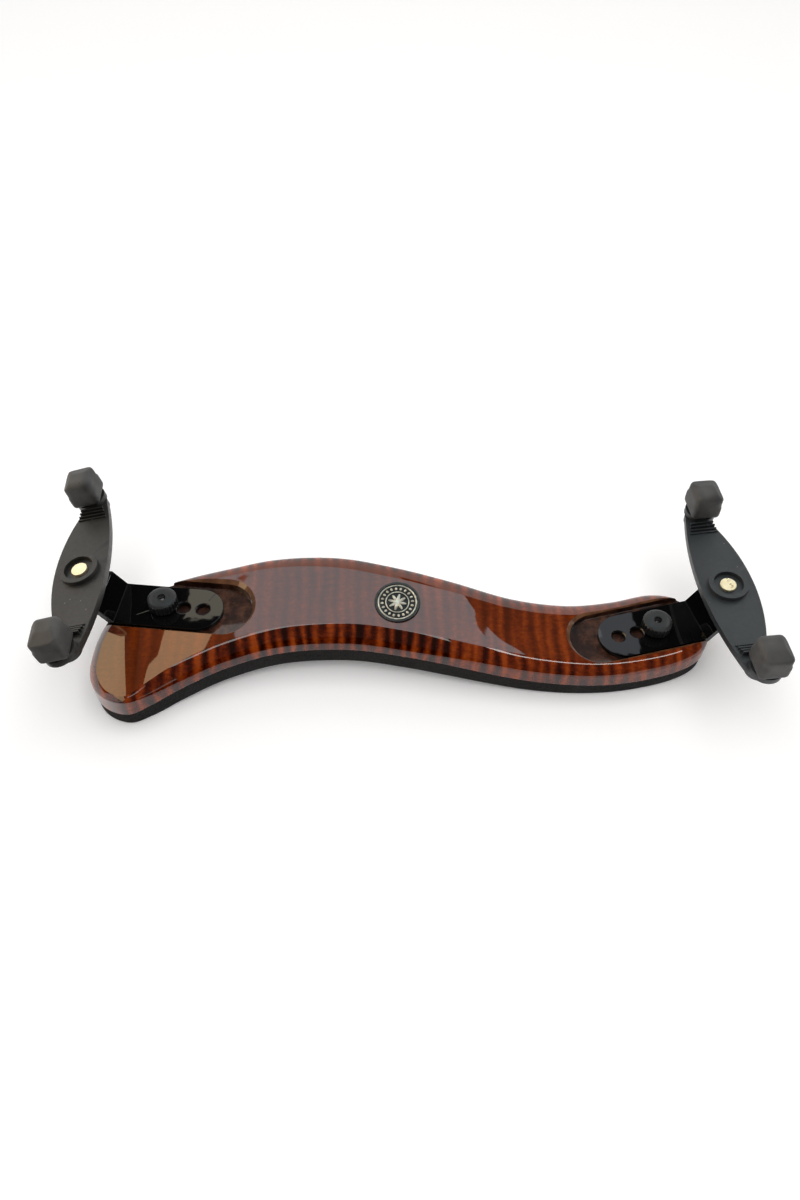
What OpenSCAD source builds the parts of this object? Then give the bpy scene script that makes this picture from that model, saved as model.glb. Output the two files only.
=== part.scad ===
// Violin shoulder rest, full (4/4) size.
// Own frame: +X along the bar, +Y away from the player's hand side, +Z up, foam side down.

/* [Bar] */
// wood thickness of the bar
wood_t = 8.5; // [7:0.1:10]
// greatest height of the rounded shoulder round the flat top
shoulder_h = 3.5; // [2:0.1:5]
// how much further the front shoulder reaches down in the hollow of the S
shoulder_extra = 2.0; // [0:0.1:3]
// points between two outline ribs
bar_steps = 4; // [2:1:6]

/* [Foam] */
// foam thickness at the wide end
foam_left = 7; // [5:0.1:9]
// foam thickness at the narrow end
foam_right = 5.6; // [3:0.1:8]
// how far the foam edge lies inside the wood edge
foam_inset = 0.5; // [0.2:0.1:2]

/* [Recesses] */
// width of the bracket recess
slot_w = 19.4; // [18.5:0.1:21]
// distance from the bracket bend to the centre of the round inner end
slot_len = 34.8; // [30:0.1:38]
// chamfer round the recess rim
slot_chamfer = 0.7; // [0.4:0.1:2]
// how far the recess lies behind the plate's middle line
slot_shift = 0.9; // [0:0.1:2]

/* [Brackets] */
// sheet thickness
sheet_t = 1.8; // [1.5:0.1:2.5]
// plate width
plate_w = 16.8; // [15:0.1:18]
// plate length from the bend to the round end
plate_len = 34.8; // [30:0.1:38]
// distance from the bend to the first screw hole
hole_first = 14.9; // [12:0.1:16]
// spacing of the screw holes
hole_pitch = 6.6; // [5:0.1:8]
// radius of the screw holes
hole_r = 2.15; // [2.1:0.05:2.4]
// depth of the tab below the ring top of the fork
tab_drop = 11.5; // [10:0.1:13]

/* [Thumb screws] */
// screw radius
screw_r = 2.0; // [1.5:0.1:2]
// knob radius
knob_r = 4.9; // [4:0.1:6]
// knob height above the washer
knob_h = 4.1; // [3:0.1:6]
// washer radius
washer_r = 4.0; // [3:0.1:5]
// washer thickness
washer_t = 0.5; // [0.4:0.1:1]

/* [Forks] */
// half width of the lens-shaped fork plate
fork_half_w = 8.8; // [7:0.1:10]
// thickness of the fork plate
fork_t = 2.6; // [2:0.1:4]
// height of the raised ring
ring_h = 1.6; // [1:0.1:2.5]
// outer radius of the raised ring
ring_r = 6.4; // [6:0.1:8]
// radius of the post shank
post_r = 2.1; // [1.8:0.1:2.4]
// distance from the post to the middle of each sleeve
foot_reach = 33.2; // [30:0.1:36]
// height of the sleeve tops above the ring top
foot_top = 10.2; // [7:0.1:12]
// sleeve width
sleeve_w = 9.8; // [9:0.1:14]
// sleeve depth along the fork
sleeve_d = 10.8; // [9:0.1:14]
// outward splay of the prongs in degrees
splay = 3; // [0:1:25]
// radius of the round seat under each sleeve
seat_r = 5.2; // [5:0.1:7]
// sideways shift of the sleeves and their seats away from the bar
foot_shift = 1.0; // [0:0.1:3]

/* [Medallion] */
// medallion radius
medal_r = 7.5; // [6:0.1:9]
// rim width
rim_w = 0.9; // [0.6:0.1:1.5]

/* [Hidden] */
$fn = 48;
shift = [-1.775, 6.855, -3.2];

// ---- where the two ends stand -------------------------------------------------
// bend line of each bracket: x runs inward along the plate, z = 0 is the plate top
module at_left()  { translate([-93.4, -2.5, 20.8] + shift) rotate([0, -2, -10]) children(); }
module at_right() { translate([99.2, -14.8, 16.5] + shift) rotate([0, 0, 12]) mirror([1, 0, 0]) children(); }
// post axis in that frame: [x, z, outward lean, turn of the fork]
axis_left = [-10.1, 16.6, 10, 10.3];
axis_right = [-7.2, 17.1, -2.7, 8.3];
module at_axis(a) { translate([a[0], 0, a[1]]) rotate([0, -a[2], 0]) children(); }

// ---- bar shape ---------------------------------------------------------------
// height of the top face along the bar: [x, middle y, z, crosswise tilt]
spine = [[-105, -24, 17.6, 7], [-83, -18, 20.2, 7], [-57, -9.5, 22.8, 7], [-30, -6, 25.2, 9],
         [-10, -8, 25.5, 10], [15, -15, 23.3, 8.5], [38, -19, 19.6, 5], [60, -21, 17.5, 2],
         [81, -19.6, 17.3, 1], [105, -18, 18, 1]];
function slope(i, k) = let (a = max(i - 1, 0), b = min(i + 1, len(spine) - 1))
    (spine[b][k] - spine[a][k]) / (spine[b][0] - spine[a][0]);
function seg(x, i = 0) = (i >= len(spine) - 2 || x < spine[i + 1][0]) ? i : seg(x, i + 1);
function along(x, k) = let (i = seg(x), w = spine[i + 1][0] - spine[i][0], t = (x - spine[i][0]) / w)
    spine[i][k] * (1 + 2 * t) * pow(1 - t, 2) + slope(i, k) * w * t * pow(1 - t, 2)
    + spine[i + 1][k] * t * t * (3 - 2 * t) + slope(i + 1, k) * w * t * t * (t - 1);
function top_z(x, y) = along(x, 2) + (y - along(x, 1)) * tan(along(x, 3));

// outline ribs: [front x, front y, back x, back y, front shoulder, back shoulder]
// the first and last rib are the two tips
ribs = [[-101.5, -25, -101.5, -25, 2.6, 2.6], [-100, -32, -100, -15, 2.4, 2.8],
        [-95.4, -37.2, -96.5, -7, 1.9, 3.2], [-88.6, -39.4, -90.5, -1, 1.8, 3.6],
        [-81.6, -36.6, -82, 3.4, 3, 4], [-72, -31.4, -72, 6.6, 4, 4.6],
        [-58, -25.3, -58, 9.4, 4.4, 5], [-40, -21.2, -42, 11.4, 4.4, 5.4],
        [-18, -21.4, -22, 10.2, 4.4, 5.8], [2, -25, -2, 5.6, 4.4, 6], [24, -30, 18, 0.2, 4.4, 6],
        [46, -33.8, 38, -4.6, 4.4, 6], [66, -35, 56, -6.2, 4.4, 6], [84, -32.8, 72, -4.8, 4.4, 5.4],
        [96, -28.8, 86, -2.4, 4.2, 4.6], [101.6, -23, 96, -5.4, 4, 4], [102.6, -15, 102.6, -15, 4, 4]];
n_rib = len(ribs);
knots = concat([for (r = ribs) [r[0], r[1], r[4]]],
               [for (i = [n_rib - 2:-1:1]) [ribs[i][2], ribs[i][3], ribs[i][5]]]);
n_knot = len(knots);
function knot(i) = knots[(i + n_knot) % n_knot];
function curve(i, t) = 0.5 * (2 * knot(i) + (knot(i + 1) - knot(i - 1)) * t
    + (2 * knot(i - 1) - 5 * knot(i) + 4 * knot(i + 1) - knot(i + 2)) * t * t
    + (3 * knot(i) - knot(i - 1) - 3 * knot(i + 1) + knot(i + 2)) * t * t * t);
loop = [for (i = [0:n_knot - 1], j = [0:bar_steps - 1]) curve(i, j / bar_steps)];
n_loop = len(loop);
function inward(i) = let (a = loop[(i + n_loop - 1) % n_loop], b = loop[(i + 1) % n_loop],
    d = [b[0] - a[0], b[1] - a[1]]) [-d[1], d[0]] / norm(d);
function at_loop(i, d) = [loop[i][0], loop[i][1]] + d * inward(i);

// ring of the wood's side at one depth below the top face
function wall_ring(d, h) = [for (i = [0:n_loop - 1])
    let (p = at_loop(i, d)) [p[0], p[1], top_z(p[0], p[1]) - h]];
// 0 up to t = 0, 1 from t = 1, with a smooth rise between
function soft(t) = let (q = min(max(t, 0), 1)) q * q * (3 - 2 * q);
// share of shoulder_extra at one point: the front shoulder reaches further down in the hollow of the S
function reach_down(i) = i < n_loop / 2 ? soft((loop[i][0] + 88) / 16) * (1 - soft(loop[i][0] / 40)) : 0;
// ring on the rounded shoulder: f = 0 at the side, 1 at the flat top
function shoulder_ring(f) = [for (i = [0:n_loop - 1]) let (w = loop[i][2], p = at_loop(i, f * w),
    h = min(shoulder_h, 0.85 * w) + shoulder_extra * reach_down(i),
    sag = h * (1 - sqrt(1 - pow(1 - f, 2)))) [p[0], p[1], top_z(p[0], p[1]) - sag]];

// foam: narrow end is thinner and its lower edge runs in further
foam_floor = 3.2;
function narrow(x) = min(max((x - 10) / 60, 0), 1);
function foam_ring(d, s) = [for (i = [0:n_loop - 1]) let (q = narrow(loop[i][0]),
    p = at_loop(i, foam_inset + d * (1 + 1.4 * q)), z = top_z(p[0], p[1]) - wood_t - 0.05)
    [p[0], p[1], max(z - s * (foam_left + (foam_right - foam_left) * q), foam_floor + (1 - s) * 3)]];

// closed skin over a stack of rings, capped straight across the bar
module stack(rings) {
    m = len(rings);
    h = n_loop / 2;
    sides = [for (k = [0:m - 2], i = [0:n_loop - 1]) let (j = (i + 1) % n_loop)
        each [[k * n_loop + i, (k + 1) * n_loop + j, k * n_loop + j],
              [k * n_loop + i, (k + 1) * n_loop + i, (k + 1) * n_loop + j]]];
    function cap(o, up) = [for (i = [0:h - 1])
        let (a = i, b = i + 1, c = n_loop - i - 1, d = (n_loop - i) % n_loop)
        each [if (b != c) up ? [o + a, o + c, o + b] : [o + a, o + b, o + c],
              if (a != d) up ? [o + a, o + d, o + c] : [o + a, o + c, o + d]]];
    faces = concat(sides, cap(0, false), cap((m - 1) * n_loop, true));
    polyhedron([for (r = rings) each r], faces, convexity = 6);
}

// plan of a plate or recess: straight from x0 to x1, round at x1
module lane(x0, x1, w, in = 0) {
    union() {
        translate([x0, in - w / 2]) square([x1 - x0, w - 2 * in]);
        translate([x1, 0]) circle(r = w / 2);
    }
}
// its straight sides stand a hair inside the round end, so the two meet at a clear edge
module slot_cut(tilt) {
    hair = 0.03;
    translate([0, slot_shift, -sheet_t - 0.05]) linear_extrude(12) lane(-30, slot_len, slot_w, hair);
    // rim chamfer, following the slope of the top face
    c = slot_chamfer + 4;
    w = slot_w / 2;
    v = w - hair;
    translate([0, slot_shift, 0.7 - slot_chamfer]) rotate([tilt, 0, 0]) {
        translate([slot_len, 0, -1]) cylinder(h = c + 1, r1 = w - 1, r2 = w + c, $fn = 64);
        translate([slot_len, 0, 0]) rotate([90, 0, -90]) linear_extrude(60)
            polygon([[1 - v, -1], [v - 1, -1], [v + c, c], [-v - c, c]]);
    }
    // hole of the threaded insert
    translate([hole_first, 0, -7]) cylinder(h = 8, r = 3.52);
}
medal_at = [-1.6, -9.9];
module at_medal() {
    translate([medal_at[0], medal_at[1], top_z(medal_at[0], medal_at[1])] + shift)
        rotate([along(medal_at[0], 3), 2.5, -16]) children();
}

module wood_bar() {
    color([0.45, 0.16, 0.06]) difference() {
        translate(shift) stack([wall_ring(0.5, wood_t), wall_ring(0, wood_t - 0.5),
            for (f = [0, 0.06, 0.2, 0.42, 0.7, 1]) shoulder_ring(f)]);
        at_left() slot_cut(6);
        at_right() slot_cut(2);
        at_medal() translate([0, 0, -1.2]) cylinder(h = 5, r = medal_r + 0.03);
    }
}
module foam_pad() {
    color([0.07, 0.07, 0.07]) translate(shift)
        stack([foam_ring(2.4, 1), foam_ring(0.7, 0.9), foam_ring(0, 0.66), foam_ring(0, 0)]);
}
module medallion_rim() {
    color([0.2, 0.18, 0.16]) at_medal() difference() {
        translate([0, 0, -1.15]) cylinder(h = 1.75, r = medal_r);
        translate([0, 0, -2]) cylinder(h = 5, r = medal_r - rim_w);
    }
}
module medallion_disc() {
    color([0.75, 0.72, 0.62]) at_medal() difference() {
        union() {
            translate([0, 0, -1.15]) cylinder(h = 1.45, r = medal_r - rim_w - 0.01);
            translate([0, 0, 0.2]) cylinder(h = 0.35, r = 1);
            for (a = [0:45:315]) rotate(a) translate([2.1, 0, 0.2]) cylinder(h = 0.25, r = 0.75, $fn = 24);
            for (a = [0:30:330]) rotate(a) translate([5.2, 0, 0.2]) cylinder(h = 0.25, r = 0.5, $fn = 24);
        }
        translate([0, 0, 0.12]) difference() {
            cylinder(h = 1, r = 4.2);
            cylinder(h = 2.2, r = 3.7, center = true);
        }
    }
}

// ---- thumb screw set -----------------------------------------------------------
module insert() {
    color([0.8, 0.62, 0.25]) translate([hole_first, 0, 0]) difference() {
        translate([0, 0, -6.9]) cylinder(h = 5, r = 3.5);
        translate([0, 0, -8]) cylinder(h = 10, r = screw_r + 0.05);
    }
}
module washer() {
    color([0.6, 0.6, 0.62]) translate([hole_first, 0, 0.02]) difference() {
        cylinder(h = washer_t, r = washer_r);
        translate([0, 0, -1]) cylinder(h = 3, r = screw_r + 0.1);
    }
}
module screw() {
    color([0.7, 0.7, 0.72]) translate([hole_first, 0, 0]) difference() {
        union() {
            translate([0, 0, -6.2]) cylinder(h = 9.1, r = screw_r);
            translate([0, 0, -6.7]) cylinder(h = 0.5, r1 = screw_r - 0.5, r2 = screw_r);
        }
        translate([0, 0, 2.2]) cylinder(h = 3, r = 0.9);
    }
}
module knob() {
    z0 = washer_t + 0.04;
    color([0.1, 0.1, 0.11]) translate([hole_first, 0, z0]) difference() {
        rotate_extrude($fn = 64) polygon([[0, 0], [knob_r - 0.6, 0], [knob_r, 0.5], [knob_r, knob_h - 0.8],
            [knob_r - 0.3, knob_h - 0.35], [knob_r - 0.9, knob_h - 0.1], [knob_r - 1.8, knob_h], [0, knob_h]]);
        translate([0, 0, -1]) cylinder(h = 3.45, r = screw_r + 0.02);
        translate([0, 0, 2]) cylinder(h = 4, r = 1.35);
        for (a = [0:15:345]) rotate(a) translate([knob_r + 0.15, 0, -1])
            cylinder(h = knob_h + 2, r = 0.42, $fn = 12);
    }
}

// ---- bracket -------------------------------------------------------------------
// mitred corner of the sheet's underside
function under(a, b, c, t) = let (u = (b - a) / norm(b - a), v = (c - b) / norm(c - b),
    n1 = [-u[1], u[0]], n2 = [-v[1], v[0]]) b + t * (n1 + n2) / (1 + n1 * n2);
module bracket(a) {
    s = sin(a[2]);
    c = cos(a[2]);
    mid = [a[0] + tab_drop * s, a[1] - tab_drop * c];
    p1 = [0, 0];
    p2 = mid + 4.1 * [c, s];
    p3 = mid - 9 * [c, s];
    p0 = [plate_len, 0];
    color([0.05, 0.05, 0.055]) difference() {
        intersection() {
            rotate([90, 0, 0]) linear_extrude(plate_w, center = true)
                polygon([p0, p1, p2, p3, p3 + sheet_t * [s, -c], under(p1, p2, p3, sheet_t),
                         under(p0, p1, p2, sheet_t), p0 - [0, sheet_t]]);
            translate([0, 0, -5]) linear_extrude(30) union() {
                lane(-1, plate_len - plate_w / 2, plate_w);
                mirror([1, 0]) lane(-1, -mid[0] + 0.6, plate_w);
            }
        }
        for (i = [0:2]) translate([hole_first + i * hole_pitch, 0, 0]) {
            translate([0, 0, -3]) cylinder(h = 5, r = hole_r);
            translate([0, 0, -0.4]) cylinder(h = 0.41, r1 = hole_r, r2 = hole_r + 0.4);
        }
        at_axis(a) translate([0, 0, -tab_drop - 4]) cylinder(h = 8, r = 3.2);
    }
}
module bush(a) {
    color([0.78, 0.6, 0.25]) at_axis(a) translate([0, 0, -tab_drop]) difference() {
        union() {
            translate([0, 0, -2.6]) cylinder(h = 3, r = 3.18);
            translate([0, 0, 0.02]) cylinder(h = 0.8, r = 3.6);
        }
        translate([0, 0, -5]) cylinder(h = 10, r = post_r + 0.05);
    }
}
module post(a) {
    color([0.86, 0.7, 0.36]) at_axis(a) {
        translate([0, 0, -tab_drop - 4.6]) cylinder(h = tab_drop + 4.6 - ring_h, r = post_r);
        translate([0, 0, -ring_h]) cylinder(h = 0.9, r = 2.6);
    }
}

// ---- fork ----------------------------------------------------------------------
// outer edge bulges more than the inner edge, so the tips lie inward of the post
outer_r = 70;
inner_r = 120;
tip_y = foot_reach - 1.6;
module lens() {
    intersection() {
        translate([outer_r - fork_half_w, 0]) circle(r = outer_r, $fn = 180);
        translate([fork_half_w - inner_r, 0]) circle(r = inner_r, $fn = 180);
        square([40, 2 * tip_y], center = true);
    }
    for (m = [0, 1]) mirror([0, m]) translate([0.6, tip_y]) circle(r = 4);
}
// middle of one seat: the seat, its prong and its sleeve lean outward together
module at_seat(rear) {
    translate([-foot_shift, rear ? foot_reach : -foot_reach, 0])
        rotate([0, -splay, 0]) children();
}
module fork(a) {
    z1 = -ring_h;
    z0 = z1 - fork_t;
    color([0.13, 0.135, 0.14]) at_axis(a) rotate(a[3]) difference() {
        union() {
            translate([0, 0, z0]) linear_extrude(fork_t) lens();
            translate([0, 0, z0]) cylinder(h = fork_t + ring_h, r = ring_r, $fn = 64);
            translate([0, 0, z0 - 1.4]) cylinder(h = 2, r = 5.5);
            for (rear = [false, true]) {
                at_seat(rear) {
                    translate([0, 0, z1 - 0.6]) cylinder(h = 2.2, r = seat_r, $fn = 64);
                    translate([-3.6, -1.6, -0.4]) cube([7.2, 3.2, 9.2]);
                }
                // fins that climb from the plate to the seat
                for (i = [0:3]) let (out = foot_reach - 9.6 + 1.15 * i)
                    translate([-4.2 + 0.25 * i, (rear ? out : -out) - 0.25, z1 - 0.1])
                        cube([9.6 - 0.6 * i, 0.5, 0.6 + 0.4 * i]);
            }
        }
        translate([0, 0, z1]) cylinder(h = 5, r = ring_r - 1.6, $fn = 64);
        translate([0, 0, -20]) cylinder(h = 30, r = post_r + 0.05);
    }
}
// plan of a block with round corners
module block(w, d, r) {
    square([w - 2 * r, d], center = true);
    square([w, d - 2 * r], center = true);
    for (i = [-1, 1], j = [-1, 1]) translate([i * (w / 2 - r), j * (d / 2 - r)]) circle(r = r, $fn = 32);
}
module sleeve(a, rear) {
    w = sleeve_w / 2;
    d = sleeve_d / 2;
    zb = 0.02;
    color([0.17, 0.17, 0.175]) at_axis(a) rotate(a[3]) at_seat(rear) mirror([0, rear ? 0 : 1, 0]) difference() {
        intersection() {
            translate([0, 0, zb]) linear_extrude(foot_top - zb) block(sleeve_w, sleeve_d, 2.8);
            // front view: wide facet on the outward side
            translate([0, 10, 0]) rotate([90, 0, 0]) linear_extrude(20)
                polygon([[-w, zb + 1.2], [1 - w, zb], [w - 1, zb], [w, zb + 1.2],
                         [w, foot_top - 1.6], [w - 1.4, foot_top], [3.2 - w, foot_top], [-w, foot_top - 2.4]]);
            // side view
            translate([-10, 0, 0]) rotate([90, 0, 90]) linear_extrude(20)
                polygon([[-d, zb + 0.8], [0.8 - d, zb], [d - 1.6, zb], [d, zb + 2.2], [d, foot_top - 1.8],
                         [d - 1.4, foot_top], [1.2 - d, foot_top], [-d, foot_top - 1.4]]);
        }
        translate([-3.63, -1.63, -1]) cube([7.26, 3.26, 9.9]);
        // hollow over the top of the seat
        translate([0, 0, -2]) cylinder(h = 2.03, r = seat_r + 0.5, $fn = 64);
    }
}

wood_bar();
foam_pad();
medallion_disc();
medallion_rim();
at_left() insert();  // insert_left
at_right() insert();  // insert_right
at_left() bracket(axis_left);  // bracket_left
at_right() bracket(axis_right);  // bracket_right
at_left() bush(axis_left);  // bush_left
at_right() bush(axis_right);  // bush_right
at_left() washer();  // washer_left
at_right() washer();  // washer_right
at_left() screw();  // screw_left
at_right() screw();  // screw_right
at_left() knob();  // knob_left
at_right() knob();  // knob_right
at_left() post(axis_left);  // post_left
at_right() post(axis_right);  // post_right
at_left() fork(axis_left);  // fork_left
at_right() fork(axis_right);  // fork_right
at_left() sleeve(axis_left, false);  // sleeve_left_front
at_left() sleeve(axis_left, true);  // sleeve_left_rear
at_right() sleeve(axis_right, false);  // sleeve_right_front
at_right() sleeve(axis_right, true);  // sleeve_right_rear
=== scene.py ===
import math

import bmesh
import bpy
import numpy as np
from mathutils import Matrix, Vector
from mathutils.bvhtree import BVHTree
from mathutils.interpolate import poly_3d_calc


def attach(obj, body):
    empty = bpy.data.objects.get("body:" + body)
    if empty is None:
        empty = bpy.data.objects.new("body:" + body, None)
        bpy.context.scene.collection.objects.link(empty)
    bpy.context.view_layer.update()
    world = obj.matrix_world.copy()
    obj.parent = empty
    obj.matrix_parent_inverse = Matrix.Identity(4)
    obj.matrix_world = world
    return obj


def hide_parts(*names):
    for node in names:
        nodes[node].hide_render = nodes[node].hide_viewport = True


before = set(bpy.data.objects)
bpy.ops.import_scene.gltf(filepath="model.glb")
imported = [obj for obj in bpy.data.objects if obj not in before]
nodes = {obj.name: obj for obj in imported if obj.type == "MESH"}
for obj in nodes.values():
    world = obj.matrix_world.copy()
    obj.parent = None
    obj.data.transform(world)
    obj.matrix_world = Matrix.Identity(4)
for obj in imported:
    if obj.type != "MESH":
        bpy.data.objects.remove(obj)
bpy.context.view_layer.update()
scene = bpy.context.scene
MM = 0.001
# the drawing's own frame, in mm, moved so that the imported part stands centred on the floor
SHIFT = Vector((-1.775, 6.855, -3.2))


# ---- small helpers -----------------------------------------------------------
def new_object(name, bm):
    mesh = bpy.data.meshes.new(name)
    bm.to_mesh(mesh)
    bm.free()
    ob = bpy.data.objects.new(name, mesh)
    scene.collection.objects.link(ob)
    return ob


def smooth(ob, angle=math.radians(35)):
    ob.data.polygons.foreach_set("use_smooth", [True] * len(ob.data.polygons))
    ob.data.set_sharp_from_angle(angle=angle)


def apply_modifiers(ob):
    dg = bpy.context.evaluated_depsgraph_get()
    mesh = bpy.data.meshes.new_from_object(ob.evaluated_get(dg))
    old = ob.data
    ob.modifiers.clear()
    ob.data = mesh
    bpy.data.meshes.remove(old)


def rot(axis, degrees):
    return Matrix.Rotation(math.radians(degrees), 4, axis)


def side_frame(origin, tilt, turn, mirrored):
    """Bend line of a bracket: x runs inward along the plate, z = 0 is the top of the plate."""
    m = Matrix.Translation(Vector(origin) + SHIFT) @ rot("Z", turn) @ rot("Y", tilt)
    return m @ Matrix.Diagonal((-1, 1, 1, 1)) if mirrored else m


LEFT = side_frame((-93.4, -2.5, 20.8), -2, -10, False)
RIGHT = side_frame((99.2, -14.8, 16.5), 0, 12, True)


# ---- materials ---------------------------------------------------------------
class Mat:
    """A node material with short words for the nodes it needs."""

    def __init__(self, name, **sockets):
        self.mat = bpy.data.materials.new(name)
        self.mat.use_nodes = True
        self.t = self.mat.node_tree
        self.bsdf = self.t.nodes["Principled BSDF"]
        for k, v in sockets.items():
            self.bsdf.inputs[k.replace("_", " ")].default_value = v
        self.pos = self.add("ShaderNodeTexCoord").outputs["Object"]

    def add(self, kind, **props):
        n = self.t.nodes.new(kind)
        for k, v in props.items():
            setattr(n, k, v)
        return n

    def link(self, a, b):
        self.t.links.new(a, b)
        return b.node

    def put(self, socket, value):
        if hasattr(value, "is_linked") or hasattr(value, "links"):
            self.link(value, socket)
        else:
            socket.default_value = value

    def mapped(self, scale, turn=(0, 0, 0), source=None):
        n = self.add("ShaderNodeMapping")
        n.inputs["Scale"].default_value = scale
        n.inputs["Rotation"].default_value = turn
        self.link(source or self.pos, n.inputs["Vector"])
        return n.outputs[0]

    def noise(self, scale=1.0, detail=2.0, rough=0.5, vec=None, colour=False):
        n = self.add("ShaderNodeTexNoise")
        n.inputs["Scale"].default_value = scale
        n.inputs["Detail"].default_value = detail
        n.inputs["Roughness"].default_value = rough
        self.link(vec or self.pos, n.inputs["Vector"])
        return n.outputs["Color" if colour else "Fac"]

    def cells(self, scale):
        n = self.add("ShaderNodeTexVoronoi")
        n.inputs["Scale"].default_value = scale
        self.link(self.pos, n.inputs["Vector"])
        return n.outputs["Distance"]

    def axes(self, vector):
        n = self.add("ShaderNodeSeparateXYZ")
        self.link(vector, n.inputs[0])
        return n.outputs

    def ramp(self, fac, *stops):
        n = self.add("ShaderNodeValToRGB")
        e = n.color_ramp.elements
        while len(e) < len(stops):
            e.new(0.5)
        for x, (p, c) in zip(e, stops):
            x.position = p
            x.color = (*c, 1) if isinstance(c, (tuple, list)) else (c, c, c, 1)
        self.link(fac, n.inputs[0])
        return n.outputs["Color"]

    def math(self, op, a, b=0.0):
        n = self.add("ShaderNodeMath", operation=op)
        self.put(n.inputs[0], a)
        self.put(n.inputs[1], b)
        return n.outputs[0]

    def span(self, v, a, b, c=0.0, d=1.0):
        n = self.add("ShaderNodeMapRange")
        self.link(v, n.inputs["Value"])
        for k, x in zip(("From Min", "From Max", "To Min", "To Max"), (a, b, c, d)):
            n.inputs[k].default_value = x
        return n.outputs["Result"]

    def mix(self, fac, a, b, mode="MIX"):
        n = self.add("ShaderNodeMix", data_type="RGBA", blend_type=mode)
        self.put(n.inputs["Factor"], fac)
        for s, v in ((n.inputs["A"], a), (n.inputs["B"], b)):
            if isinstance(v, tuple):
                s.default_value = (*v, 1)
            else:
                self.link(v, s)
        return n.outputs["Result"]

    def bump(self, height, distance, strength=1.0, normal=None):
        n = self.add("ShaderNodeBump")
        n.inputs["Strength"].default_value = strength
        n.inputs["Distance"].default_value = distance
        self.link(height, n.inputs["Height"])
        if normal:
            self.link(normal, n.inputs["Normal"])
        return n.outputs["Normal"]

    def set(self, **sockets):
        for k, v in sockets.items():
            self.link(v, self.bsdf.inputs[k.replace("_", " ")])
        return self.mat


def flames(m, edge, along_bar):
    """How pale the wood is, 0 to 1: narrow wavy bands straight across the plank, and fine specks."""
    sway = m.add("ShaderNodeVectorMath", operation="MULTIPLY_ADD")
    m.link(m.noise(scale=26, detail=2, colour=True), sway.inputs[0])
    sway.inputs[1].default_value = (0.0075, 0.0, 0.0)
    m.link(m.pos, sway.inputs[2])
    swayed = sway.outputs[0]
    wave = m.add("ShaderNodeTexWave", wave_type="BANDS", bands_direction="X", wave_profile="SIN")
    for socket, value in (("Scale", 76), ("Distortion", 1.6), ("Detail", 2.0), ("Detail Scale", 1.1)):
        wave.inputs[socket].default_value = value
    m.link(m.mapped((1, 0.35, 1), (0, 0, 0.06), swayed), wave.inputs["Vector"])
    streak = m.noise(vec=m.mapped((330, 40, 70), (0, 0, 0.05), swayed), detail=1.5, rough=0.5)
    broad = m.noise(vec=m.mapped((34, 30, 30)), detail=2)
    speck = m.noise(vec=m.mapped((620, 900, 900), (0, 0, 0.08)), detail=3, rough=0.7)
    tone = m.math("ADD", m.math("MULTIPLY", wave.outputs["Fac"], 0.42),
                  m.math("MULTIPLY", m.span(streak, 0.3, 0.7), 0.58))
    # the bands stand out on the sloping edge and on the right part of the top, less so at the right end; the
    # stronger bands on the sloping edge against a plainer top are painted light by surface slope
    figured = m.span(along_bar, 0.012, 0.035)
    shown = m.math("MAXIMUM", m.span(edge, 0, 1, 0.36, 1.0), m.math("MULTIPLY", figured, 0.75))
    force = m.math("MULTIPLY", shown, m.span(along_bar, 0.02, 0.075, 1.0, 0.55))
    tone = m.math("ADD", 0.5, m.math("MULTIPLY", m.math("SUBTRACT", tone, 0.5), force))
    tone = m.math("ADD", tone, m.span(broad, 0.3, 0.7, -0.09, 0.09))
    return m.math("ADD", tone, m.span(speck, 0.25, 0.75, -0.17, 0.17)), figured


def maple():
    """Flamed maple under lacquer: dark flames across the plank, fine fibres along it."""
    m = Mat("flamed_maple", Coat_Weight=1.0, Coat_Roughness=0.015, Coat_IOR=1.55, Specular_IOR_Level=0.0,
            Roughness=0.5)
    along_bar = m.axes(m.pos)["X"]
    upward = m.axes(m.add("ShaderNodeNewGeometry").outputs["Normal"])["Z"]
    edge = m.span(upward, 0.99, 0.93)
    tone, figured = flames(m, edge, along_bar)
    col = m.ramp(tone, (0.10, (0.012, 0.0018, 0.0006)), (0.34, (0.050, 0.0052, 0.0012)),
                 (0.56, (0.125, 0.0165, 0.0024)), (0.86, (0.30, 0.050, 0.0060)))
    # by surface slope: the flat top is tinted a plainer, lighter amber while the sloping edge keeps the full
    # figure, painted light
    flat = m.mix(m.span(figured, 0, 1, 0.5, 0.3), col, (0.145, 0.0305, 0.0056))
    fibre = m.noise(vec=m.mapped((85, 1300, 1300), (0, 0, 0.08)), detail=3, rough=0.65)
    col = m.mix(m.span(fibre, 0.35, 0.75, 0.0, 0.42), m.mix(edge, flat, col), (0.52, 0.42, 0.34), "MULTIPLY")
    # the lacquer domes over towards the left end
    over = m.add("ShaderNodeMath", operation="SMOOTH_MAX")
    m.link(m.math("SUBTRACT", -0.0895, along_bar), over.inputs[0])
    over.inputs[1].default_value, over.inputs[2].default_value = 0.0, 0.006
    dome = m.bump(m.math("MULTIPLY", over.outputs[0], -0.42), 1.0)
    nrm = m.bump(m.noise(scale=48, detail=1), 0.00004, 1.0, dome)
    m.link(nrm, m.bsdf.inputs["Coat Normal"])
    return m.set(Base_Color=col, Normal=nrm)


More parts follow.
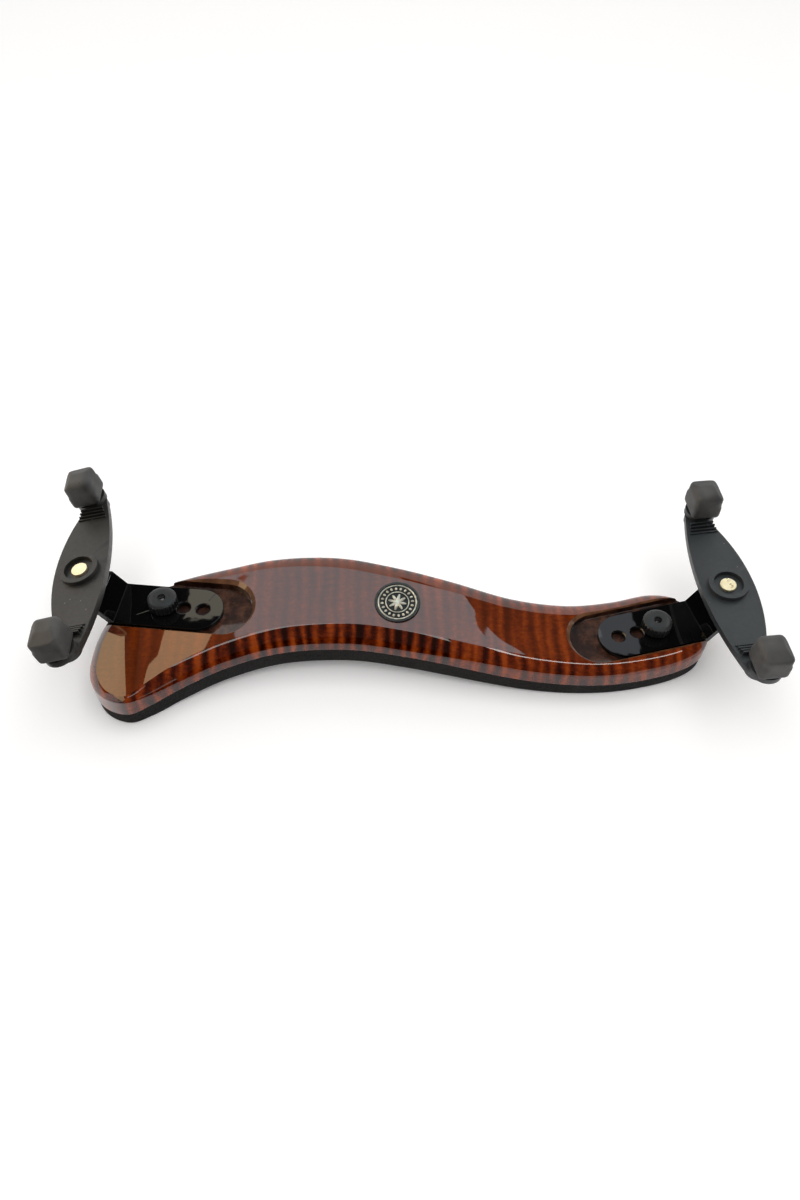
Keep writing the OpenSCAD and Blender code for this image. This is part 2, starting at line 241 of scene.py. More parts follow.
def recess_wood_painted_shade():
    """The recess: sealed but not polished, mottled by the cutter, and painted dark as painted shade under the
    plates and in the holes.
    """
    m = Mat("recess_maple_painted_shade", Coat_Weight=1.0, Coat_Roughness=0.05, Coat_IOR=1.5, Specular_IOR_Level=0.2,
            Roughness=0.5)
    mott = m.noise(scale=380, detail=4, rough=0.7)
    band = m.noise(vec=m.mapped((190, 25, 40)), detail=1)
    f = m.math("ADD", m.math("MULTIPLY", mott, 0.6), m.math("MULTIPLY", band, 0.4))
    # very dark browns: painted shade in the recesses, under the plates and in the holes
    col = m.ramp(f, (0.36, (0.005, 0.0015, 0.0008)), (0.5, (0.022, 0.0060, 0.0027)),
                 (0.66, (0.085, 0.031, 0.015)))
    return m.set(Base_Color=col, Normal=m.bump(mott, 0.00004, 0.6))


def bare_edge_and_shade():
    """The chamfer round a recess, where the lacquer is thin; its tone is also darkened as painted shade along
    the rim.
    """
    m = Mat("recess_edge_and_shade", Coat_Weight=1.0, Coat_Roughness=0.05, Specular_IOR_Level=0.2, Roughness=0.45)
    f = m.noise(vec=m.mapped((200, 60, 60)), detail=3)
    # bare wood tone, partly darkened as painted shade along the recess rim
    col = m.ramp(f, (0.3, (0.055, 0.018, 0.006)), (0.7, (0.20, 0.084, 0.035)))
    return m.set(Base_Color=col, Normal=m.bump(m.noise(scale=300), 0.00003))


def foam():
    """Closed-cell foam: fine and coarse cells, a little grey where it is rubbed."""
    m = Mat("foam_black", Roughness=0.95, Specular_IOR_Level=0.25)
    cell = m.cells(2300)
    big = m.cells(950)
    patch = m.noise(scale=90, detail=3)
    col = m.mix(m.span(cell, 0.0, 0.55), (0.028, 0.027, 0.026), (0.009, 0.009, 0.009))
    col = m.mix(m.span(patch, 0.3, 0.7, 0.0, 0.35), col, (0.032, 0.031, 0.030))
    h = m.math("ADD", m.math("MULTIPLY", cell, 0.5), m.math("MULTIPLY", big, 0.5))
    return m.set(Base_Color=col, Normal=m.bump(h, 0.0004, 0.9))


def enamel():
    """Black gloss enamel on sheet steel: faint orange peel and specks of dust."""
    m = Mat("black_enamel", Coat_Weight=1.0, Coat_Roughness=0.02, Coat_IOR=1.5, Specular_IOR_Level=0.0,
            Roughness=0.4)
    peel = m.noise(scale=200, detail=1)
    dust = m.noise(scale=900, detail=3, rough=0.7)
    col = m.mix(m.span(dust, 0.62, 0.78), (0.0030, 0.0030, 0.0032), (0.012, 0.0115, 0.011))
    nrm = m.bump(peel, 0.000012)
    m.link(nrm, m.bsdf.inputs["Coat Normal"])
    return m.set(Base_Color=col, Normal=nrm)


def moulded(name, tone, rough, grain=700, depth=0.00005):
    """Moulded satin plastic: fine grain, faint flow marks, a little dust."""
    m = Mat(name, Specular_IOR_Level=0.5)
    g = m.noise(scale=grain, detail=3, rough=0.65)
    flow = m.noise(vec=m.mapped((60, 14, 30)), detail=3)
    dust = m.cells(300)
    dark = tuple(c * 0.72 for c in tone)
    pale = tuple(c * 1.35 for c in tone)
    col = m.mix(m.span(flow, 0.3, 0.7), dark, pale)
    col = m.mix(m.span(g, 0.35, 0.7, 0.0, 0.4), col, tone)
    col = m.mix(m.math("MULTIPLY", m.math("LESS_THAN", dust, 0.055), 0.5), col, (0.22, 0.22, 0.22))
    r = m.span(g, 0.3, 0.7, rough - 0.07, rough + 0.09)
    return m.set(Base_Color=col, Roughness=r, Normal=m.bump(g, depth, 0.8))


def sleeve_rubber():
    """Dull black rubber, rubbed grey in places, with small pores."""
    m = Mat("sleeve_rubber", Specular_IOR_Level=0.5)
    g = m.noise(scale=480, detail=4, rough=0.7)
    wear = m.noise(scale=120, detail=4, rough=0.6)
    pore = m.cells(420)
    col = m.mix(m.span(wear, 0.35, 0.68), (0.022, 0.022, 0.0225), (0.060, 0.0595, 0.057))
    col = m.mix(m.math("MULTIPLY", m.math("LESS_THAN", pore, 0.09), 0.8), col, (0.012, 0.012, 0.012))
    return m.set(Base_Color=col, Roughness=m.span(g, 0.3, 0.7, 0.5, 0.72), Normal=m.bump(g, 0.00012, 0.8))


def turned_metal(name, tone, dark, rough, metallic=1.0):
    """Turned metal with patches of tarnish in the darker tone."""
    m = Mat(name, Metallic=metallic)
    g = m.noise(scale=500, detail=3)
    patina = m.noise(scale=160, detail=3)
    col = m.mix(m.span(patina, 0.4, 0.72), tone, dark)
    return m.set(Base_Color=col, Roughness=m.span(g, 0.3, 0.7, rough - 0.06, rough + 0.12),
                 Normal=m.bump(g, 0.00004))


def medallion_metal():
    """Raised work is worn ivory silver, the ground is dark enamel; 'relief' is the height from 0 to 1."""
    m = Mat("medallion_relief", Specular_IOR_Level=0.25)
    a = m.add("ShaderNodeAttribute", attribute_name="relief")
    h = m.span(a.outputs["Fac"], 0.35, 0.6)
    wear = m.noise(scale=900, detail=3)
    metal = m.mix(m.span(wear, 0.35, 0.7), (0.80, 0.77, 0.66), (0.45, 0.41, 0.33))
    ground = m.mix(m.span(wear, 0.3, 0.7), (0.006, 0.0075, 0.007), (0.022, 0.027, 0.024))
    return m.set(Base_Color=m.mix(h, ground, metal), Metallic=m.math("MULTIPLY", h, 0.85),
                 Roughness=m.span(h, 0, 1, 0.35, 0.3), Normal=m.bump(wear, 0.00003))


# ---- the bar -----------------------------------------------------------------
# the top face along the bar, in mm: x, middle y, z, crosswise tilt in degrees
SPINE = np.array([
    [-105, -24, 17.6, 7], [-83, -18, 20.2, 7], [-57, -9.5, 22.8, 7], [-30, -6, 25.2, 9],
    [-10, -8, 25.5, 10], [15, -15, 23.3, 8.5], [38, -19, 19.6, 5], [60, -21, 17.5, 2],
    [81, -19.6, 17.3, 1], [105, -18, 18, 1]], float)
# the outline, in mm: front x, y, back x, y, shoulder width at the front, at the back
RIBS = [
    [-101.5, -25, -101.5, -25, 2.6, 2.6], [-100, -32, -100, -15, 2.4, 2.8], [-95.4, -37.2, -96.5, -7, 1.9, 3.2],
    [-88.6, -39.4, -90.5, -1, 1.8, 3.6], [-81.6, -36.6, -82, 3.4, 3, 4], [-72, -31.4, -72, 6.6, 4, 4.6],
    [-58, -25.3, -58, 9.4, 4.4, 5], [-40, -21.2, -42, 11.4, 4.4, 5.4], [-18, -21.4, -22, 10.2, 4.4, 5.8],
    [2, -25, -2, 5.6, 4.4, 6], [24, -30, 18, 0.2, 4.4, 6], [46, -33.8, 38, -4.6, 4.4, 6],
    [66, -35, 56, -6.2, 4.4, 6], [84, -32.8, 72, -4.8, 4.4, 5.4], [96, -28.8, 86, -2.4, 4.2, 4.6],
    [101.6, -23, 96, -5.4, 4, 4], [102.6, -15, 102.6, -15, 4, 4]]
WOOD_T, SHOULDER_H, SHOULDER_EXTRA = 8.5, 3.5, 2.0
STRIPS = 14  # faces across the bar in each flat cap


def along(x, k):
    """Column k of SPINE at x, on a smooth curve through its points."""
    last = len(SPINE) - 1
    i = int(np.clip(np.searchsorted(SPINE[:, 0], x, side="right") - 1, 0, last - 1))
    slopes = []
    for j in (i, i + 1):
        before, after = SPINE[max(j - 1, 0)], SPINE[min(j + 1, last)]
        slopes.append((after[k] - before[k]) / (after[0] - before[0]))
    a, b = SPINE[i], SPINE[i + 1]
    w = b[0] - a[0]
    t = (x - a[0]) / w
    return (a[k] * (1 + 2 * t) * (1 - t) ** 2 + slopes[0] * w * t * (1 - t) ** 2
            + b[k] * t * t * (3 - 2 * t) + slopes[1] * w * t * t * (t - 1))


def top_z(x, y):
    return along(x, 2) + (y - along(x, 1)) * math.tan(math.radians(along(x, 3)))


def outline(steps):
    """Points round the bar on a smooth curve: x, y, shoulder width; the front comes first."""
    k = [[r[0], r[1], r[4]] for r in RIBS] + [[r[2], r[3], r[5]] for r in RIBS[-2:0:-1]]
    k = np.array(k, float)
    n = len(k)
    out = []
    for i in range(n):
        p0, p1, p2, p3 = k[(i - 1) % n], k[i], k[(i + 1) % n], k[(i + 2) % n]
        for j in range(steps):
            t = j / steps
            out.append(0.5 * (2 * p1 + (p2 - p0) * t + (2 * p0 - 5 * p1 + 4 * p2 - p3) * t * t
                              + (3 * p1 - p0 - 3 * p2 + p3) * t ** 3))
    return np.array(out)


STEPS = 12
LOOP = outline(STEPS)
N = len(LOOP)
tangent = np.roll(LOOP, -1, 0)[:, :2] - np.roll(LOOP, 1, 0)[:, :2]
INWARD = np.stack([-tangent[:, 1], tangent[:, 0]], 1) / np.linalg.norm(tangent, axis=1)[:, None]


def soft(t):
    """0 up to t = 0, 1 from t = 1, with a smooth rise between."""
    t = np.clip(t, 0, 1)
    return t * t * (3 - 2 * t)


def ring(inset, drop):
    """Loop of points so far inside the outline and so far below the top face."""
    p = LOOP[:, :2] + INWARD * np.broadcast_to(inset, N)[:, None]
    return [(x, y, top_z(x, y) - d) for (x, y), d in zip(p, np.broadcast_to(drop, N))]


def loft(name, rings, strips, lower=None):
    """Rings joined into a skin, closed across the bar by strips whose points lie on the top surface."""
    bm = bmesh.new()
    vs = [[bm.verts.new((Vector(p) + SHIFT) * MM) for p in r] for r in rings]
    for a, b in zip(vs, vs[1:]):
        for i in range(N):
            j = (i + 1) % N
            bm.faces.new((a[i], a[j], b[j], b[i]))
    half = N // 2
    for r, up, row in ((rings[0], False, vs[0]), (rings[-1], True, vs[-1])):
        lines = []
        for i in range(half + 1):
            a, b = row[i], row[(N - i) % N]
            if a is b:
                lines.append([a] * (strips + 1))
                continue
            pa, pb = Vector(r[i]), Vector(r[(N - i) % N])
            depth_a = top_z(pa.x, pa.y) - pa.z
            depth_b = top_z(pb.x, pb.y) - pb.z
            mids = []
            for k in range(1, strips):
                t = k / strips
                p = pa.lerp(pb, t)
                z = top_z(p.x, p.y) - (depth_a * (1 - t) + depth_b * t)
                if lower is not None and not up:
                    z = max(z, lower)
                mids.append(bm.verts.new((Vector((p.x, p.y, z)) + SHIFT) * MM))
            lines.append([a, *mids, b])
        for p, q in zip(lines, lines[1:]):
            for k in range(strips):
                f = [p[k], q[k], q[k + 1], p[k + 1]]
                f = [v for at, v in enumerate(f) if v is not f[at - 1]]
                if len(f) > 2:
                    bm.faces.new(f if up else f[::-1])
    bmesh.ops.recalc_face_normals(bm, faces=bm.faces)
    return new_object(name, bm)


def bar_rings():
    """From the underside up: a rounded lower edge, the side, then the shoulder up to the crease."""
    widths = LOOP[:, 2]
    in_front = np.arange(N) < N // 2
    reach_down = in_front * soft((LOOP[:, 0] + 88) / 16) * (1 - soft(LOOP[:, 0] / 40))
    h = np.minimum(SHOULDER_H, 0.85 * widths) + SHOULDER_EXTRA * reach_down
    side_h = WOOD_T - 0.9
    rings = [ring(0.9, WOOD_T), ring(0.45, WOOD_T - 0.12), ring(0.13, WOOD_T - 0.42), ring(0, side_h)]
    rings += [ring(0, h + (side_h - h) * g) for g in (0.66, 0.33)]
    crease, steps = math.radians(66), 14
    for k in range(steps + 1):
        a = crease * k / steps
        f = (1 - math.cos(a)) / (1 - math.cos(crease))
        rings.append(ring(f * widths, h * (1 - math.sin(a) / math.sin(crease))))
    return rings


# width, length, place and depth of the bracket recess in the bracket's frame, and its edges, in mm
LANE_R, LANE_LEN, LANE_SHIFT, LANE_FLOOR, LANE_OUT = 9.7, 34.8, 0.9, -1.85, -30
LANE_CHAMFER, LANE_FILLET, LANE_PROUD = 0.7, 0.2, 0.7


def lane_cutter(name, frame_matrix, tilt):
    """A round-ended recess with a filleted floor and a chamfered rim that follows the tilt of the top."""
    bm = bmesh.new()
    straight = np.linspace(LANE_OUT, LANE_LEN, 13)[:-1]
    turns = np.linspace(0, math.pi, 41)

    def loop_at(r, z_of):
        pts = [(x, -r) for x in straight]
        pts += [(LANE_LEN + r * math.sin(t), -r * math.cos(t)) for t in turns]
        pts += [(x, r) for x in straight[::-1]]
        return [bm.verts.new(frame_matrix @ Vector((x, y + LANE_SHIFT, z_of(y))) * MM) for x, y in pts]

    def rim(y):
        return LANE_PROUD - LANE_CHAMFER + y * math.tan(math.radians(tilt))

    lines = []
    for a in np.linspace(0, math.pi / 2, 5):
        z = LANE_FLOOR + LANE_FILLET * (1 - math.cos(a))
        lines.append(loop_at(LANE_R - LANE_FILLET * (1 - math.sin(a)), lambda y, z=z: z))
    lines.append(loop_at(LANE_R, rim))
    lines.append(loop_at(LANE_R + 5, lambda y: rim(y) + 5))
    for a, b in zip(lines, lines[1:]):
        for i in range(len(a)):
            j = (i + 1) % len(a)
            bm.faces.new((a[i], a[j], b[j], b[i])).material_index = EDGE if b is lines[-1] else RECESS
    bm.faces.new(lines[0][::-1]).material_index = RECESS
    bm.faces.new(lines[-1]).material_index = RECESS
    bmesh.ops.recalc_face_normals(bm, faces=bm.faces)
    return new_object(name, bm)


def drill(name, matrix, r, z0, z1, segments=48):
    """A round cutter of radius r from z0 to z1 on the Z axis of a frame, in mm."""
    bm = bmesh.new()
    bmesh.ops.create_cone(bm, cap_ends=True, segments=segments, radius1=r * MM, radius2=r * MM,
                          depth=(z1 - z0) * MM, matrix=Matrix.Translation((0, 0, (z0 + z1) / 2 * MM)))
    m = matrix.copy()
    m.translation *= MM
    bm.transform(m)
    for f in bm.faces:
        f.material_index = RECESS
    bmesh.ops.recalc_face_normals(bm, faces=bm.faces)
    return new_object(name, bm)


def carry_normals(mesh, uncut, top_start):
    """The cut skin keeps the shading of the uncut one, split where the flat top (from top_start) begins."""
    bm = bmesh.new()
    bm.from_mesh(uncut)
    tree = BVHTree.FromBMesh(bm)
    bm.faces.ensure_lookup_table()

    def on_top(face):
        return all(v.index >= top_start for v in face.verts)

    def corner_normal(face, vert):
        total = Vector((0, 0, 0))
        for g in vert.link_faces:
            if on_top(g) == on_top(face) and g.normal.dot(face.normal) > 0.5:
                total += g.normal * g.calc_area()
        return total.normalized()

    known = {}
    normals = [c.vector.copy() for c in mesh.corner_normals]
    for poly in mesh.polygons:
        if poly.material_index != LACQUERED:
            continue
        for li in poly.loop_indices:
            co = mesh.vertices[mesh.loops[li].vertex_index].co
            hit, _, index, _ = tree.find_nearest(co.lerp(poly.center, 0.02))
            if index is None:
                continue
            face = bm.faces[index]
            if index not in known:
                known[index] = ([v.co for v in face.verts], [corner_normal(face, v) for v in face.verts])
            corners, corner_normals = known[index]
            n = Vector((0, 0, 0))
            for weight, normal in zip(poly_3d_calc(corners, hit), corner_normals):
                n += normal * weight
            if n.length > 0:
                normals[li] = n.normalized()
    mesh.normals_split_custom_set([tuple(n) for n in normals])
    bm.free()


# material slots of the bar and its cutters
BAR_MATERIALS = (maple(), recess_wood_painted_shade(), bare_edge_and_shade())
LACQUERED, RECESS, EDGE = range(3)
MEDAL_X, MEDAL_Y, MEDAL_R, RIM_W = -1.6, -9.9, 7.5, 0.9
MEDAL = (Matrix.Translation(Vector((MEDAL_X, MEDAL_Y, top_z(MEDAL_X, MEDAL_Y))) + SHIFT)
         @ rot("Z", -16) @ rot("Y", 2.5) @ rot("X", along(MEDAL_X, 3)))
SCREW_X, INSERT_R = 14.9, 3.52


def make_bar():
    rings = bar_rings()
    bar = loft("maple_bar", rings, STRIPS)
    uncut = bar.data.copy()
    cutters = [lane_cutter("cut_l", LEFT, 6), lane_cutter("cut_r", RIGHT, 2),
               drill("cut_il", LEFT @ Matrix.Translation((SCREW_X, 0, 0)), INSERT_R, -7, 1),
               drill("cut_ir", RIGHT @ Matrix.Translation((SCREW_X, 0, 0)), INSERT_R, -7, 1),
               drill("cut_m", MEDAL, MEDAL_R + 0.08, -1.2, 5, 96)]
    for ob in (bar, *cutters):
        for material in BAR_MATERIALS:
            ob.data.materials.append(material)
    for c in cutters:
        b = bar.modifiers.new(c.name, "BOOLEAN")
        b.object, b.operation, b.solver = c, "DIFFERENCE", "EXACT"
    apply_modifiers(bar)
    for c in cutters:
        bpy.data.objects.remove(c)
    smooth(bar, math.radians(32))
    carry_normals(bar.data, uncut, (len(rings) - 1) * N)
    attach(bar, "bar")
    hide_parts("wood_bar")


make_bar()

# ---- the foam ------------------------------------------------------------------
FOAM_LEFT, FOAM_RIGHT, FOAM_INSET, FOAM_FLOOR = 7.0, 5.6, 0.5, 3.2
# section of its edge from the underside up: mm inside the foam's outline, share of the thickness
FOAM_EDGE = [(1.5, 1.0), (1.0, 0.99), (0.6, 0.965), (0.3, 0.92), (0.1, 0.85), (0.02, 0.76), (0.0, 0.6),
             (0.02, 0.36), (0.06, 0.2), (0.03, 0.08), (0.0, 0.0)]


def foam_ring(inset, share):
    """The narrow end is thinner and its lower edge runs in further."""
    narrow = np.clip((LOOP[:, 0] - 10) / 60, 0, 1)
    p = LOOP[:, :2] + INWARD * (FOAM_INSET + inset * (1 + 1.4 * narrow))[:, None]
    out = []
    for (x, y), q in zip(p, narrow):
        z = top_z(x, y) - WOOD_T - 0.05
        thick = FOAM_LEFT + (FOAM_RIGHT - FOAM_LEFT) * q
        out.append((x, y, max(z - share * thick, FOAM_FLOOR + (1 - share) * 3)))
    return out


def make_foam():
    pad = loft("foam_underside", [foam_ring(d, s) for d, s in FOAM_EDGE], STRIPS, FOAM_FLOOR)
    smooth(pad, math.radians(60))
    pad.data.materials.append(foam())
    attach(pad, "bar")
    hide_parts("foam_pad")


make_foam()


# ---- the medallion: a rosette inside a ring of beads -----------------------------
PETALS, BEADS, HUB_R, BEAD_RING = 8, 20, 0.13, 0.765
RAISED_LINES = ((0.575, 0.028), (0.955, 0.04))  # radius, half width
BASE_Z, RELIEF_H, DISC_BOTTOM = 0.08, 0.42, -1.1  # mm above the wood


def relief(r, a):
    """Height from 0 to 1 at radius r (1 = edge) and angle a."""
    up = 0.0
    petal = 0.34 + 0.13 * math.cos(PETALS * a)
    if r < petal:
        up = 0.55 + 0.45 * math.sqrt(max(0.0, 1 - (r / petal) ** 2))
        vein = abs(((a * PETALS / (2 * math.pi)) % 1) - 0.5) * 2
        up *= 0.72 + 0.28 * vein ** 0.4
    if r < HUB_R:
        up = 0.75 + 0.3 * math.sqrt(1 - (r / HUB_R) ** 2)
    for centre, half in RAISED_LINES:
        d = abs(r - centre) / half
        if d < 1:
            up = max(up, 0.5 + 0.35 * math.sqrt(1 - d * d))
    pitch = 2 * math.pi / BEADS
    d = math.hypot((r - BEAD_RING) / 0.085, r * (a - round(a / pitch) * pitch) / 0.062)
    if d < 1:
        up = max(up, 0.5 + 0.5 * math.sqrt(1 - d * d))
    return min(up, 1.0)


def make_medallion():
    bm = bmesh.new()
    spokes, circles, radius = 320, 72, MEDAL_R - RIM_W - 0.03
    lay = bm.verts.layers.float.new("relief")

    def point(r, a, z, value):
        v = bm.verts.new(MEDAL @ Vector((r * radius * math.cos(a), r * radius * math.sin(a), z)) * MM)
        v[lay] = value
        return v

    turns = [2 * math.pi * j / spokes for j in range(spokes)]
    centre = point(0, 0, BASE_Z + RELIEF_H * relief(0, 0), 1)
    rows = []
    for i in range(1, circles + 1):
        r = i / circles
        heights = [relief(r, a) for a in turns]
        rows.append([point(r, a, BASE_Z + RELIEF_H * up, up) for a, up in zip(turns, heights)])
    rows.append([point(1, a, DISC_BOTTOM, 0) for a in turns])
    for j in range(spokes):
        bm.faces.new((centre, rows[0][j], rows[0][(j + 1) % spokes]))
        for a, b in zip(rows, rows[1:]):
            bm.faces.new((a[j], b[j], b[(j + 1) % spokes], a[(j + 1) % spokes]))
    bm.faces.new(rows[-1][::-1])
    ob = new_object("medallion_rosette", bm)
    smooth(ob, math.radians(50))
    ob.data.materials.append(medallion_metal())
    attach(ob, "bar")
    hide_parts("medallion_disc")


make_medallion()

# ---- the rubber sleeves on the prongs -----------------------------------------------
REACH, SEAT_SHIFT, SPLAY = 33.2, 1.0, 3.0
SLEEVE_W, SLEEVE_D, SLEEVE_TOP, SLEEVE_GAP = 9.8, 10.8, 10.2, 0.03
POCKET_W, POCKET_D, POCKET_TOP = 7.26, 3.26, 8.9
# post axis in each bracket's frame: frame, x, z, outward lean, turn of the fork
AXES = {"left": (LEFT, -10.1, 16.6, 10, 10.3), "right": (RIGHT, -7.2, 17.1, -2.7, 8.3)}


def rounded_block(half):
    """A block with soft corners and two sloping facets: wide on the outward side, small at the tip."""
    bm = bmesh.new()
    bmesh.ops.create_cube(bm, size=2)
    bmesh.ops.subdivide_edges(bm, edges=bm.edges[:], cuts=19, use_grid_fill=True)
    outward = Vector((-0.6, 0, 0.8))
    tip = Vector((0, 0.35, 0.94)).normalized()
    facets = ((outward, outward.dot(Vector((-half.x, 0, half.z - 2.0)))),
              (tip, tip.dot(Vector((0, half.y, half.z - 1.6)))))
    for v in bm.verts:
        p = Vector(v.co[i] * half[i] for i in range(3))
        r = 2.5 if p.z > 0 else 1.5
        core = Vector(max(-(half[i] - r), min(half[i] - r, p[i])) for i in range(3))
        away = p - core
        p = core + away.normalized() * r if away.length > 0 else core
        for normal, limit in facets:
            over = normal.dot(p) - limit
            if over > 0:
                p -= normal * over
        v.co = p
    for _ in range(2):
        bmesh.ops.smooth_vert(bm, verts=bm.verts, factor=0.5,
                              use_axis_x=True, use_axis_y=True, use_axis_z=True)
    return bm


def make_sleeve(side, end, finish):
    """A rounded block over each prong, with a pocket that the prong stands in."""
    base, ax, az, lean, turn = AXES[side]
    sign = 1 if end == "rear" else -1
    m = (base @ Matrix.Translation((ax, 0, az)) @ rot("Y", -lean) @ rot("Z", turn)
         @ Matrix.Translation((-SEAT_SHIFT, sign * REACH, 0)) @ rot("Y", -SPLAY)
         @ Matrix.Diagonal((1, sign, 1, 1)))
    bm = rounded_block(Vector((SLEEVE_W, SLEEVE_D, SLEEVE_TOP - SLEEVE_GAP)) / 2)
    mid = Vector((0, 0, (SLEEVE_TOP + SLEEVE_GAP) / 2))
    for v in bm.verts:
        v.co = m @ (v.co + mid) * MM
    bmesh.ops.recalc_face_normals(bm, faces=bm.faces)
    ob = new_object(f"rubber_sleeve_{side}_{end}", bm)
    cut = bmesh.new()
    bmesh.ops.create_cube(cut, size=1)
    for v in cut.verts:
        v.co = m @ Vector((v.co.x * POCKET_W, v.co.y * POCKET_D, -1 if v.co.z < 0 else POCKET_TOP)) * MM
    bmesh.ops.recalc_face_normals(cut, faces=cut.faces)
    pocket = new_object("pocket", cut)
    b = ob.modifiers.new("pocket", "BOOLEAN")
    b.object, b.operation, b.solver = pocket, "DIFFERENCE", "EXACT"
    apply_modifiers(ob)
    bpy.data.objects.remove(pocket)
    smooth(ob, math.radians(50))
    ob.data.materials.append(finish)
    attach(ob, f"fork_{side}")
    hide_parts(f"sleeve_{side}_{end}")


rubber = sleeve_rubber()
for side in ("left", "right"):
    for end in ("front", "rear"):
        make_sleeve(side, end, rubber)

# ---- finishes of the carried-over nodes -------------------------------------------
def dark_rim():
    """Blackened metal, paler where it is rubbed."""
    m = Mat("medallion_edge", Metallic=0.6, Roughness=0.25)
    return m.set(Base_Color=m.mix(m.noise(scale=500), (0.012, 0.011, 0.010), (0.05, 0.046, 0.040)))


# one plastic on both forks: the warm tint on the left fork and the cool tint on the right one are painted light
fork_left_painted_warm_light = moulded("fork_plastic_painted_warm_light", (0.0165, 0.0165, 0.015), 0.42)
fork_right_painted_cool_light = moulded("fork_plastic_painted_cool_light", (0.017, 0.0205, 0.0225), 0.42)
knob_plastic = moulded("knob_plastic", (0.010, 0.0112, 0.0118), 0.34, 1100, 0.00003)
black = enamel()
brass = turned_metal("brass_turned", (1.0, 0.90, 0.62), (0.88, 0.74, 0.44), 0.3, 0.8)
zinc = turned_metal("zinc_steel", (0.66, 0.66, 0.68), (0.42, 0.42, 0.44), 0.22)
# start of the node's name: its finish
FINISH = {"medallion_rim": dark_rim(), "knob": knob_plastic, "bracket": black, "bush": brass, "post": brass,
          "insert": brass, "washer": black, "screw": zinc, "fork_left": fork_left_painted_warm_light, "fork_right": fork_right_painted_cool_light}
# start of the node's name: rounding of the edges in mm and its steps
ROUND = {"medallion_rim": (0.2, 2), "knob": (0.12, 2), "bracket": (0.45, 3), "bush": (0.12, 2),
         "post": (0.35, 3), "washer": (0.08, 2), "screw": (0.12, 2), "fork": (0.35, 3)}


def pick(table, name):
    return next((v for k, v in table.items() if name.startswith(k)), None)


for name, ob in nodes.items():
    finish = pick(FINISH, name)
    if finish is None:
        continue
    if not ob.material_slots:
        ob.data.materials.append(finish)
    for place in ob.material_slots:
        place.material = finish
    weld = ob.modifiers.new("weld", "WELD")
    weld.merge_threshold = 2e-6
    rounding = pick(ROUND, name)
    if rounding:
        bev = ob.modifiers.new("edge", "BEVEL")
        bev.width, bev.segments = rounding[0] * MM, rounding[1]
        bev.limit_method, bev.angle_limit = "ANGLE", math.radians(24)
        bev.use_clamp_overlap = True
        bev.harden_normals = False

# ---- floor, room, light -------------------------------------------------------------
def make_floor():
    """Pale floor, a little brighter far away, so that it meets the white room without a line."""
    bm = bmesh.new()
    bmesh.ops.create_grid(bm, x_segments=1, y_segments=1, size=3.0)
    floor = new_object("floor", bm)
    m = Mat("floor_white", Roughness=0.9, Specular_IOR_Level=0.1, Emission_Color=(1, 1, 1, 1))
    far = m.add("ShaderNodeVectorMath", operation="LENGTH")
    m.link(m.add("ShaderNodeNewGeometry").outputs["Position"], far.inputs[0])
    m.set(Emission_Strength=m.span(far.outputs["Value"], 0.9, 2.2, 0.15, 0.9))
    floor.data.materials.append(m.set(Base_Color=m.mix(m.noise(scale=3), (0.93,) * 3, (0.95,) * 3)))


def make_room():
    """Bright from the floor up to head height and dark overhead; the background that shows is plain white."""
    world = bpy.data.worlds.new("studio")
    scene.world = world
    world.use_nodes = True
    t = world.node_tree
    room, output = t.nodes["Background"], t.nodes["World Output"]
    direction, sep = t.nodes.new("ShaderNodeTexCoord"), t.nodes.new("ShaderNodeSeparateXYZ")
    t.links.new(direction.outputs["Generated"], sep.inputs[0])
    near = t.nodes.new("ShaderNodeMapRange")  # the dark comes further down on the near side
    for socket, value in (("From Min", 0.15), ("From Max", -0.2), ("To Min", 0.0), ("To Max", 0.62)):
        near.inputs[socket].default_value = value
    t.links.new(sep.outputs["Y"], near.inputs["Value"])
    up = t.nodes.new("ShaderNodeMath")
    t.links.new(sep.outputs["Z"], up.inputs[0])
    t.links.new(near.outputs["Result"], up.inputs[1])
    ramp = t.nodes.new("ShaderNodeValToRGB")
    stops = ramp.color_ramp.elements
    stops[0].color = (1, 1, 1, 1)
    stops[1].color = (0.07, 0.06, 0.055, 1)
    for at, colour in ((0.60, (1.0, 0.98, 0.96)), (0.750, (0.9, 0.86, 0.82)), (0.772, (0.10, 0.085, 0.075))):
        stops.new(at).color = (*colour, 1)
    t.links.new(up.outputs[0], ramp.inputs[0])
    t.links.new(ramp.outputs[0], room.inputs["Color"])
    room.inputs["Strength"].default_value = 1.15
    plain = t.nodes.new("ShaderNodeBackground")
    plain.inputs["Color"].default_value = (1, 1, 1, 1)
    path, both = t.nodes.new("ShaderNodeLightPath"), t.nodes.new("ShaderNodeMixShader")
    t.links.new(path.outputs["Is Camera Ray"], both.inputs[0])
    t.links.new(room.outputs[0], both.inputs[1])
    t.links.new(plain.outputs[0], both.inputs[2])
    t.links.new(both.outputs[0], output.inputs["Surface"])


def top_light():
    """A soft light overhead that reflections don't see."""
    lamp = bpy.data.lights.new("top", "AREA")
    lamp.shape, lamp.size, lamp.size_y, lamp.energy = "RECTANGLE", 1.6, 1.6, 16
    ob = bpy.data.objects.new("top", lamp)
    scene.collection.objects.link(ob)
    ob.location = (0.0, -0.1, 1.3)
    ob.rotation_euler = (-ob.location).to_track_quat("-Z", "Y").to_euler()
    ob.visible_glossy = False


